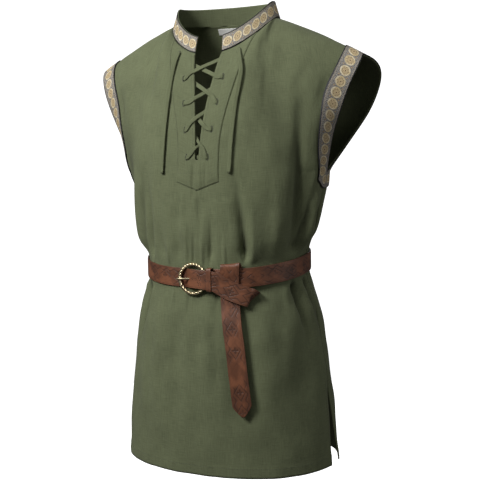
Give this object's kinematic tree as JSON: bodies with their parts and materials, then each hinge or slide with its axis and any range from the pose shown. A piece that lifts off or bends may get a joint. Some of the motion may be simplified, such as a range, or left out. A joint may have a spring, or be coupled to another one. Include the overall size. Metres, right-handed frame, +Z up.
{
  "type": "sleeveless tunic",
  "caption": "Sleeveless renaissance tunic with a laced neck slit, woven trims, slit sides and a leather belt knotted at the front.",
  "frame": {"origin": "the middle of the neck, level with the highest point of the shoulders, where a wearer or a dress form holds the tunic up", "axes": "+Z up, the tunic's front faces -Y, and the wearer's left side is +X"},
  "size_m": [0.5724, 0.2962, 0.8778],
  "materials": {
    "cloth": "matte woven",
    "woven_trim": "matte woven",
    "label": "satin weave",
    "leather": "embossed, semi-matt",
    "antique_brass": "darkened in the recesses"
  },
  "bodies": {
    "root": {"front_panel": "cloth", "back_panel": "cloth", "collar_band": "cloth", "placket_facing": "cloth", "lace_strand_over": "cloth", "lace_strand_under": "cloth", "lace_bar": "cloth", "lace_end_right": "cloth", "lace_end_left": "cloth", "collar_trim": "woven_trim", "armhole_trim_left": "woven_trim", "armhole_trim_right": "woven_trim", "neck_label": "label", "belt_strap": "leather", "belt_knot": "leather", "belt_tail": "leather", "belt_keeper": "leather", "buckle_ring": "antique_brass", "buckle_prong": "antique_brass"}
  },
  "joints": []
}
